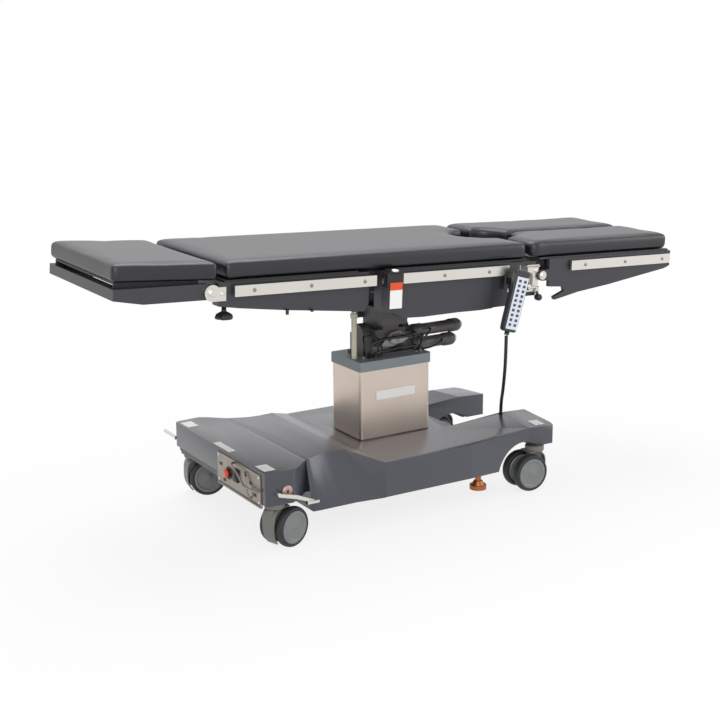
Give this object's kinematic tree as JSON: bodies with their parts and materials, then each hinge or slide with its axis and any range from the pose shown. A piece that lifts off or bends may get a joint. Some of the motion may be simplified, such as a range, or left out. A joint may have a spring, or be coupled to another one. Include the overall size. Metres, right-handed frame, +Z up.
{
  "type": "operating table",
  "caption": "Wheeled operating table with a telescopic column, tilting and sliding cushioned top, folding back, head and leg sections, side rails and a corded hand control.",
  "frame": {"origin": "on the floor under the centre of the column", "axes": "+X to the foot end, +Y to the far side seen in the picture, +Z up"},
  "size_m": [2.0551, 0.784, 0.8969],
  "materials": {
    "pad_vinyl": "soft satin black polyurethane cover",
    "board_black": "matt black laminate board",
    "frame_grey": "satin dark grey powder coat",
    "rail_steel": "brushed stainless",
    "column_steel": "brushed stainless sheet",
    "cap_grey": "satin blue grey paint",
    "cover_grey": "satin blue grey moulded cover",
    "cast_grey": "painted casting",
    "dark_metal": "dark satin paint",
    "chrome_rod": "ground and chromed",
    "tyre_grey": "grey disc in a black tread",
    "housing_grey": "mid grey moulding",
    "handset_pale": "pale membrane",
    "black_plastic": "matt black",
    "cord_black": "matt black jacket",
    "card_white": "plain card with an orange upper band",
    "red_plastic": "red moulding",
    "foot_copper": "copper coloured plating",
    "plate_white": "blank plate"
  },
  "bodies": {
    "base": {"base_cover": "cover_grey", "base_chassis": "dark_metal", "end_panel": "column_steel", "cord_gland": "black_plastic", "inner_sleeve": "column_steel", "lift_barrel": "dark_metal", "handset_cord": "cord_black"},
    "middle_stage": {"middle_sleeve": "column_steel", "lift_stage": "chrome_rod"},
    "column_head": {"outer_sleeve": "column_steel", "column_cap": "cap_grey", "lift_rod": "chrome_rod", "nameplate": "plate_white", "tilt_pedestal": "cast_grey", "tilt_actuators": "dark_metal", "hydraulic_post": "rail_steel"},
    "cross": {"tilt_cross": "cast_grey"},
    "cradle": {"slide_cradle": "cast_grey"},
    "seat": {"seat_frame": "frame_grey", "seat_board": "board_black", "seat_rails": "rail_steel", "seat_pad": "pad_vinyl", "handset_case": "housing_grey", "handset_keypad": "handset_pale", "handset_hook": "rail_steel"},
    "back": {"back_frame": "frame_grey", "back_board": "board_black", "back_rails": "rail_steel", "back_pad": "pad_vinyl", "head_knuckles": "rail_steel", "pad_fold": "pad_vinyl"},
    "lock_knob": {"head_lock_knob": "black_plastic"},
    "head": {"head_pad": "pad_vinyl", "head_frame": "frame_grey", "head_board": "board_black"},
    "head_lever": {"head_release": "rail_steel"},
    "near_bracket": {"near_leg_bracket": "rail_steel"},
    "far_bracket": {"far_leg_bracket": "rail_steel"},
    "near_leg": {"near_leg_frame": "frame_grey", "near_leg_rail": "rail_steel", "near_leg_pad": "pad_vinyl"},
    "far_leg": {"far_leg_frame": "frame_grey", "far_leg_rail": "rail_steel", "far_leg_pad": "pad_vinyl"},
    "clamp": {"rail_clamp": "black_plastic", "tag_card": "card_white"},
    "clamp_screw": {"clamp_knob": "rail_steel"},
    "button": {"red_button": "red_plastic"},
    "pedals": {"brake_pedals": "rail_steel"},
    "feet": {"levelling_feet": "foot_copper"},
    "castor_1": {"castor_fork_1": "housing_grey"},
    "wheel_1": {"castor_wheel_1": "tyre_grey"},
    "castor_2": {"castor_fork_2": "housing_grey"},
    "wheel_2": {"castor_wheel_2": "tyre_grey"},
    "castor_3": {"castor_fork_3": "housing_grey"},
    "wheel_3": {"castor_wheel_3": "tyre_grey"},
    "castor_4": {"castor_fork_4": "housing_grey"},
    "wheel_4": {"castor_wheel_4": "tyre_grey"}
  },
  "joints": [
    {"name": "column_lift", "type": "slide", "parent": "base", "child": "column_head", "axis": [0, 0, 1], "range_m": [0, 0.3], "deforming": ["handset_cord"]},
    {"name": "middle_lift", "type": "slide", "parent": "base", "child": "middle_stage", "axis": [0, 0, 1], "range_m": [0, 0.15]},
    {"name": "lateral_tilt", "type": "hinge", "parent": "column_head", "child": "cross", "pos_m": [0, 0, 0.54], "axis": [1, 0, 0], "range_deg": [-18, 18], "deforming": ["handset_cord"]},
    {"name": "trend_tilt", "type": "hinge", "parent": "cross", "child": "cradle", "pos_m": [0, 0, 0.6], "axis": [0, 1, 0], "range_deg": [-24, 20], "deforming": ["handset_cord"]},
    {"name": "seat_slide", "type": "slide", "parent": "cradle", "child": "seat", "axis": [0.9993, 0, -0.0384], "range_m": [-0.12, 0.12], "deforming": ["handset_cord"]},
    {"name": "back_tilt", "type": "hinge", "parent": "seat", "child": "back", "pos_m": [-0.1715, 0, 0.77271], "axis": [0, 1, 0], "range_deg": [-10, 70], "deforming": ["pad_fold"]},
    {"name": "lock_knob_turn", "type": "hinge", "parent": "back", "child": "lock_knob", "pos_m": [-0.67604, -0.229, 0.71604], "axis": [0.0384, 0, 0.9993], "range_deg": [-170, 170]},
    {"name": "head_tilt", "type": "hinge", "parent": "back", "child": "head", "pos_m": [-0.72528, 0, 0.78898], "axis": [0, 1, 0], "range_deg": [-45, 8]},
    {"name": "head_release_pull", "type": "hinge", "parent": "head", "child": "head_lever", "pos_m": [-0.88691, 0, 0.78764], "axis": [0, 1, 0], "range_deg": [-20, 0], "stiffness_Nm_per_rad": 2},
    {"name": "near_leg_spread", "type": "hinge", "parent": "seat", "child": "near_bracket", "pos_m": [0.42929, -0.226, 0.7036], "axis": [-0.0384, 0, -0.9993], "range_deg": [0, 60]},
    {"name": "near_leg_tilt", "type": "hinge", "parent": "near_bracket", "child": "near_leg", "pos_m": [0.46684, -0.226, 0.71717], "axis": [0, 1, 0], "range_deg": [-10, 45]},
    {"name": "far_leg_spread", "type": "hinge", "parent": "seat", "child": "far_bracket", "pos_m": [0.42929, 0.226, 0.7036], "axis": [0.0384, 0, 0.9993], "range_deg": [0, 60]},
    {"name": "far_leg_tilt", "type": "hinge", "parent": "far_bracket", "child": "far_leg", "pos_m": [0.46684, 0.226, 0.71717], "axis": [0, 1, 0], "range_deg": [-10, 45]},
    {"name": "clamp_slide", "type": "slide", "parent": "seat", "child": "clamp", "axis": [0.9993, 0, -0.0384], "range_m": [0, 0.38]},
    {"name": "clamp_knob_turn", "type": "hinge", "parent": "clamp", "child": "clamp_screw", "pos_m": [-0.12722, -0.281, 0.80503], "axis": [0.0384, 0, 0.9993], "range_deg": [-170, 170]},
    {"name": "button_press", "type": "slide", "parent": "base", "child": "button", "axis": [1, 0, 0], "range_m": [0, 0.005], "stiffness_N_per_m": 800},
    {"name": "brake_pedal_turn", "type": "hinge", "parent": "base", "child": "pedals", "pos_m": [-0.57, 0, 0.186], "axis": [0, 1, 0], "range_deg": [-8, 8], "stiffness_Nm_per_rad": 20},
    {"name": "feet_lower", "type": "slide", "parent": "base", "child": "feet", "axis": [0, 0, 1], "range_m": [-0.042, 0]},
    {"name": "castor_swivel_1", "type": "hinge", "parent": "base", "child": "castor_1", "pos_m": [-0.556, -0.285, 0.14], "axis": [0, 0, 1], "continuous": true},
    {"name": "wheel_turn_1", "type": "hinge", "parent": "castor_1", "child": "wheel_1", "pos_m": [-0.51976, -0.27357, 0.0625], "axis": [-0.3007, 0.9537, 0], "continuous": true},
    {"name": "castor_swivel_2", "type": "hinge", "parent": "base", "child": "castor_2", "pos_m": [-0.556, 0.285, 0.14], "axis": [0, 0, 1], "continuous": true},
    {"name": "wheel_turn_2", "type": "hinge", "parent": "castor_2", "child": "wheel_2", "pos_m": [-0.51849, 0.27892, 0.0625], "axis": [0.1599, 0.9871, 0], "continuous": true},
    {"name": "castor_swivel_3", "type": "hinge", "parent": "base", "child": "castor_3", "pos_m": [0.44, -0.268, 0.14], "axis": [0, 0, 1], "continuous": true},
    {"name": "wheel_turn_3", "type": "hinge", "parent": "castor_3", "child": "wheel_3", "pos_m": [0.40205, -0.26601, 0.0625], "axis": [-0.0523, -0.9986, 0], "continuous": true},
    {"name": "castor_swivel_4", "type": "hinge", "parent": "base", "child": "castor_4", "pos_m": [0.44, 0.268, 0.14], "axis": [0, 0, 1], "continuous": true},
    {"name": "wheel_turn_4", "type": "hinge", "parent": "castor_4", "child": "wheel_4", "pos_m": [0.40205, 0.26601, 0.0625], "axis": [0.0523, -0.9986, 0], "continuous": true}
  ],
  "couplings": [
    {"joint": "middle_lift", "follows": "column_lift", "ratio": 0.5}
  ]
}
